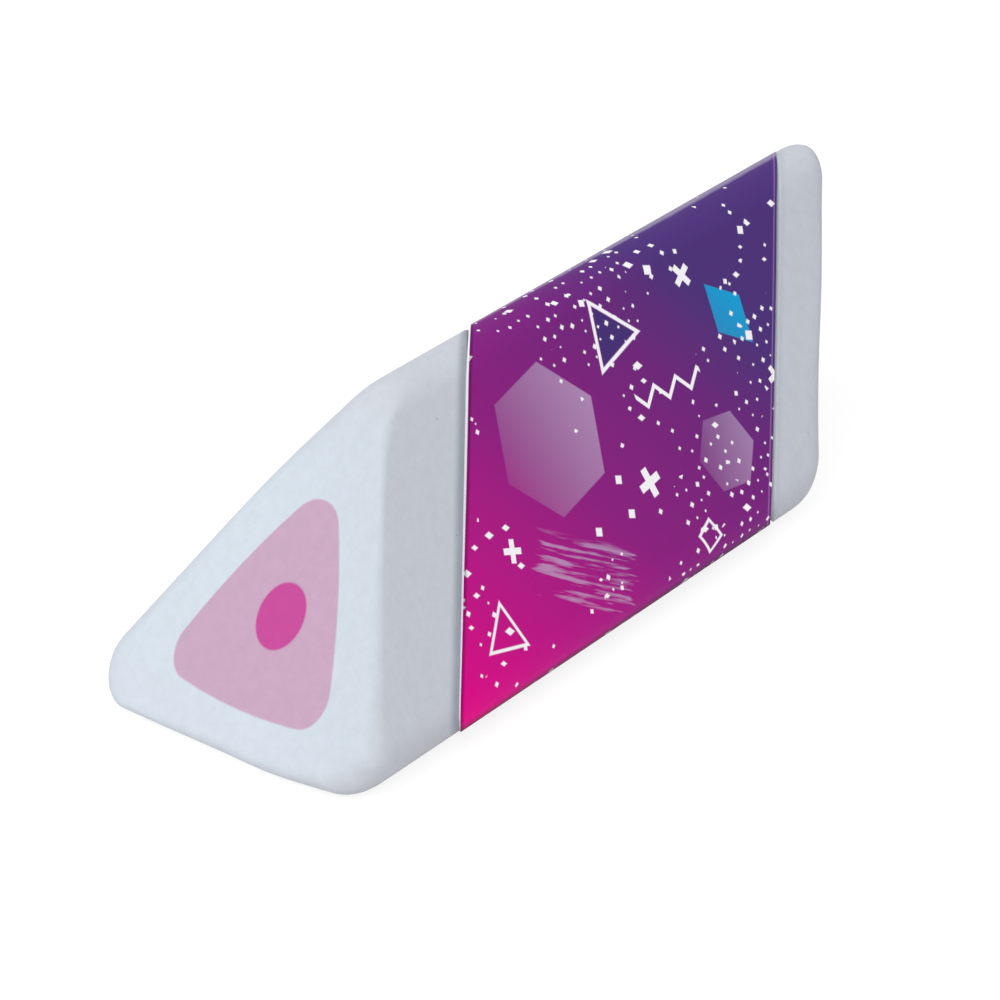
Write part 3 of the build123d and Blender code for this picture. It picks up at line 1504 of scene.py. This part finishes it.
@dataclass(frozen=True)
class Worn:
    """How round the edge of one end is, at its three straight edges and its three corners.

    The front edge has three values: near the ridge, halfway, and near the foot. A corner's value fades into
    its edges': it fades sooner where it is steep, and its peak is blunt.
    """

    back: float
    ridge: float
    front: tuple[float, float, float]
    front_corner: float
    bottom: float
    back_corner: float
    swell: float

    BLUNT = 0.1
    STEEP = 4
    FRONT_STEEP = 16

    def radius(self, degrees: float) -> float:
        """Radius of the edge.

        Args:
            degrees: Place round the section, from +Y towards the ridge.

        Returns:
            The radius.
        """
        edges = (self.back, self._front(degrees), self.bottom)
        corners = (self.ridge, self.front_corner, self.back_corner)
        count, turn = divmod((degrees - BACK_OUT) % FULL_TURN, CORNER_TURN)
        corner = int(count)
        share = 2 * turn / CORNER_TURN - 1
        edge = edges[corner if share < 0 else (corner + 1) % len(edges)]
        near = max(1 - math.hypot(share, self.BLUNT), 0.0) / (1 - self.BLUNT)
        steep = self.FRONT_STEEP if RIDGE < degrees % FULL_TURN < FRONT else self.STEEP
        return edge + (corners[corner] - edge) * near**steep

    def _front(self, degrees: float) -> float:
        """Radius along the front edge, eased through its three values.

        Args:
            degrees: Place round the section.

        Returns:
            The radius.
        """
        share = min(max((degrees % FULL_TURN - RIDGE) / CORNER_TURN, 0.0), 1.0)
        top, middle, foot = self.front
        ends = (1 - share) * (1 - 2 * share) * top + share * (2 * share - 1) * foot
        return ends + 4 * share * (1 - share) * middle


@dataclass(frozen=True)
class Column:
    """One place round the section: on the bar's side, which way is out there, and on the pink's edge."""

    side: Vector
    outward: Vector
    rim: Vector
    degrees: float


@dataclass
class SoftJacket:
    """The white rubber with the edges that its wear has left, and a slight swell outside the tight sleeve."""

    bar: Bar
    ends: SleeveEnds
    near: Worn = Worn(
        back=1.0 * MM,
        ridge=8.5 * MM,
        front=(1.0 * MM, 1.0 * MM, 1.0 * MM),
        front_corner=2.3 * MM,
        bottom=0.8 * MM,
        back_corner=1.15 * MM,
        swell=0.2 * MM,
    )
    far: Worn = Worn(
        back=0.8 * MM,
        ridge=0.95 * MM,
        front=(1.4 * MM, 1.36 * MM, 3.9 * MM),
        front_corner=2.7 * MM,
        bottom=0.2 * MM,
        back_corner=1.5 * MM,
        swell=0.28 * MM,
    )
    swell_reach: float = 0.12 * MM
    under_card: float = 0.3 * MM
    corner_steps: int = 18
    side_steps: int = 10
    edge_steps: int = 9
    cap_steps: int = 3
    bare_steps: int = 12

    def build(self) -> bpy.types.Object:
        """Model the jacket.

        Returns:
            The jacket, without a finish.
        """
        jacket = add_piece("soft_jacket", self._skinned([self._line(column) for column in self._columns()]))
        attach(jacket, "eraser")
        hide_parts(Layer.JACKET.value)
        return jacket

    def _columns(self) -> list[Column]:
        """Places all round the bar's section.

        Returns:
            The places, from the ridge's back side round.
        """
        pink = PinkOutline(self.bar)
        middle = Vector((0.0, self.bar.axis_height))
        corner_out = 2 * (self.bar.inradius - self.bar.corner_radius)
        spots = []
        for corner in CORNERS:
            centre = middle + corner_out * way(corner)
            for step in range(self.corner_steps + 1):
                outward = way(corner + CORNER_TURN * (step / self.corner_steps - 0.5))
                spots.append((centre + outward * self.bar.corner_radius, outward))
            following = middle + corner_out * way(corner + CORNER_TURN)
            for step in range(1, self.side_steps):
                along = centre.lerp(following, step / self.side_steps)
                spots.append((along + outward * self.bar.corner_radius, outward))
        columns = []
        for side, outward in spots:
            degrees = math.degrees(math.atan2(side.y - middle.y, side.x))
            columns.append(Column(side, outward, pink.rim(side), degrees))
        return columns

    def _line(self, column: Column) -> list[Vector]:
        """Points over the rubber at one place round it, from the pink of one end to the pink of the other.

        Args:
            column: The place.

        Returns:
            The points, in order along the bar.
        """
        near_card = self.ends.near.along(column.side.x, column.side.y)
        far_card = self.ends.far.along(column.side.x, column.side.y)
        near = self._end(column, -1, near_card)
        far = self._end(column, 1, far_card)[::-1]
        first, last = near[-1].x, far[0].x
        shares = [1 - (1 - step / self.bare_steps) ** 2 for step in range(1, self.bare_steps + 1)]
        stops = [first + (near_card - first) * share for share in shares]
        stops += [near_card + self.under_card, far_card - self.under_card]
        stops += [far_card + (last - far_card) * (1 - share) for share in reversed(shares)]
        sides = []
        for along in stops:
            swell = self._swell(self.near, near_card - along) + self._swell(self.far, along - far_card)
            spot = column.side + column.outward * swell
            sides.append(Vector((along, spot.x, spot.y)))
        return near + sides + far

    def _end(self, column: Column, end: int, card: float) -> list[Vector]:
        """Points over one end, from the pink's edge to where the side begins.

        Args:
            column: Place round the section.
            end: -1 for the near end, 1 for the far one.
            card: Where the sleeve ends along the bar at this place.

        Returns:
            The points.
        """
        worn = self.near if end < 0 else self.far
        foot = end * self.bar.half_length
        reach = foot + column.side.y * self.bar.slope
        spot = column.side + column.outward * self._swell(worn, abs(reach - card))
        edge = Vector((reach, spot.x, spot.y))
        rim = Vector((foot + column.rim.y * self.bar.slope, column.rim.x, column.rim.y))
        inward = (rim - edge).normalized()
        along = Vector((-end, 0, 0))
        half_angle = inward.angle(along) / 2
        radius = worn.radius(column.degrees)
        setback = radius / math.tan(half_angle)
        centre = edge + (inward + along).normalized() * (radius / math.sin(half_angle))
        cap_end = edge + inward * setback
        side_end = edge + along * setback
        points = [rim.lerp(cap_end, step / self.cap_steps) for step in range(self.cap_steps)]
        first = (cap_end - centre).normalized()
        last = (side_end - centre).normalized()
        for step in range(self.edge_steps + 1):
            points.append(centre + first.slerp(last, step / self.edge_steps) * radius)
        return points

    def _swell(self, worn: Worn, bare: float) -> float:
        """How far the rubber stands out, at a distance outside the sleeve."""
        return worn.swell * eased(min(max(bare / self.swell_reach, 0.0), 1.0))

    def _skinned(self, lines: list[list[Vector]]) -> bmesh.types.BMesh:
        """A skin over the lines, closed through the hole that the pink fills.

        Args:
            lines: Points along the bar for each place round it.

        Returns:
            The skin.
        """
        shape = bmesh.new()
        column = shape.verts.layers.int.new("column")
        verts = bmesh.ops.create_circle(shape, segments=len(lines), radius=1.0)["verts"]
        for place, vert in enumerate(verts):
            vert[column] = place
            vert.co = lines[place][0]
        edges = list(shape.edges)
        near_rim = list(edges)
        for row in range(1, len(lines[0])):
            verts, edges = grow_row(shape, edges)
            for vert in verts:
                vert.co = lines[vert[column]][row]
        bmesh.ops.bridge_loops(shape, edges=near_rim + edges)
        bmesh.ops.recalc_face_normals(shape, faces=list(shape.faces))
        for face in shape.faces:
            face.smooth = True
        for edge in near_rim + edges:
            edge.smooth = False
        return shape


@dataclass
class RubberBar:
    """The three rubber layers: a jacket modelled soft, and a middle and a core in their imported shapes."""

    bar: Bar
    ends: SleeveEnds

    def build(self) -> list[bpy.types.Object]:
        """Model the jacket and dress the layers.

        Returns:
            The layers' objects.
        """
        finish = RubberFinish(self.bar, self.ends)
        pieces = []
        for layer in Layer:
            soft = layer is Layer.JACKET
            piece = SoftJacket(self.bar, self.ends).build() if soft else bpy.data.objects[layer.value]
            piece.data.materials.clear()
            piece.data.materials.append(finish.material(layer))
            pieces.append(piece)
        return pieces


@dataclass
class SeamGlue:
    """The film of glue in the lap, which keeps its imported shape."""

    node_name: str = "seam_glue"

    def build(self) -> bpy.types.Object:
        """Dress the glue.

        Returns:
            Its node.
        """
        node = bpy.data.objects[self.node_name]
        node.data.materials.clear()
        node.data.materials.append(GlueFinish().material())
        return node


@dataclass
class Studio:
    """Pale floor, soft light and the camera of the photograph."""

    aim: tuple[float, float, float] = (4.221 * MM, 0.0, 6.095 * MM)
    distance: float = 272.68 * MM
    azimuth: float = -51.955
    elevation: float = 29.657
    roll: float = 0.617
    lens: float = 152.54
    sensor: float = 36.0
    clip_start: float = 0.01
    floor_side: float = 6.0
    floor: Colour = paint(243, 243, 243)
    floor_seen: Colour = paint(120, 120, 120)
    floor_glow: float = 0.86
    black: Colour = paint(0, 0, 0)
    white: Colour = paint(255, 255, 255)
    sky: float = 0.55
    key: float = 0.64
    key_from: tuple[float, float, float] = (-0.59, -0.05, 0.81)
    key_spread: float = 60.0

    def build(self) -> None:
        """Add the floor, the lights and the camera."""
        self._add_floor()
        self._add_sky()
        self._add_key()
        self._add_camera()
        bpy.context.scene.view_settings.view_transform = "Standard"

    def _add_floor(self) -> None:
        """Lay a large plain floor at the height that the part rests on."""
        shape = bmesh.new()
        bmesh.ops.create_grid(shape, x_segments=1, y_segments=1, size=self.floor_side / 2)
        floor = add_piece("floor", shape)
        material = bpy.data.materials.new("floor_white")
        floor.data.materials.append(material)
        recipe = Recipe(material)
        seen = self._seen(recipe)
        recipe.surface({
            "Base Color": recipe.mix(seen, self.floor, self.floor_seen),
            "Roughness": 1.0,
            "Specular IOR Level": 0.0,
            "Emission Color": recipe.mix(seen, self.black, self.white),
            "Emission Strength": self.floor_glow,
        })

    @staticmethod
    def _seen(recipe: Recipe) -> Signal:
        """1 for rays that show the floor or the sky to the camera, straight or through a gloss.

        Args:
            recipe: The floor's or the sky's nodes.

        Returns:
            The mask.
        """
        paths = recipe.node("ShaderNodeLightPath")
        seen = Signal(recipe, paths.outputs["Is Camera Ray"])
        for ray in ("Is Glossy Ray", "Is Transmission Ray"):
            seen = seen.top(Signal(recipe, paths.outputs[ray]))
        return seen

    def _add_sky(self) -> None:
        """Light the part evenly from all round, and show white past the floor."""
        world = bpy.data.worlds.new("studio")
        bpy.context.scene.world = world
        recipe = Recipe(world)
        grey = (self.sky, self.sky, self.sky, 1.0)
        colour = recipe.mix(self._seen(recipe), grey, self.white)
        background = recipe.node("ShaderNodeBackground", None, {"Color": colour, "Strength": 1.0})
        output = recipe.node("ShaderNodeOutputWorld")
        recipe.tree.links.new(background.outputs[0], output.inputs["Surface"])

    def _add_key(self) -> None:
        """Add one broad soft lamp, high on the side of the near end."""
        lamp = bpy.data.lights.new("key", "SUN")
        lamp.energy = self.key * math.pi
        lamp.angle = math.radians(self.key_spread)
        key = bpy.data.objects.new("key", lamp)
        key.rotation_mode = "QUATERNION"
        key.rotation_quaternion = (-Vector(self.key_from)).to_track_quat("-Z", "Y")
        bpy.context.scene.collection.objects.link(key)

    def _add_camera(self) -> None:
        """Stand the camera where the photograph was taken from."""
        turn, rise = math.radians(self.azimuth), math.radians(self.elevation)
        back = Vector((math.sin(turn) * math.cos(rise), -math.cos(turn) * math.cos(rise), math.sin(rise)))
        data = bpy.data.cameras.new("camera")
        data.lens = self.lens
        data.sensor_width = self.sensor
        data.clip_start = self.clip_start
        camera = bpy.data.objects.new("camera", data)
        camera.rotation_mode = "QUATERNION"
        camera.location = Vector(self.aim) + back * self.distance
        level = (-back).to_track_quat("-Z", "Y")
        camera.rotation_quaternion = level @ Quaternion((0, 0, 1), math.radians(self.roll))
        bpy.context.scene.collection.objects.link(camera)
        bpy.context.scene.camera = camera


def main() -> None:
    """Load the frame and dress the part."""
    logging.basicConfig(level=logging.INFO, format="%(message)s")
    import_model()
    jacket_low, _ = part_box(Layer.JACKET.value)
    bar = Bar(jacket_low.z)
    ends = SleeveEnds(SleeveSection(bar))
    for node in RubberBar(bar, ends).build():
        LOG.info("%s: dressed, %d faces", node.name, len(node.data.polygons))
    sleeve = CardSleeve(ends).build()
    LOG.info("%s: folded, %d faces", sleeve.name, len(sleeve.data.polygons))
    LOG.info("%s: dressed", SeamGlue().build().name)
    Studio().build()


if __name__ == "__main__":
    main()
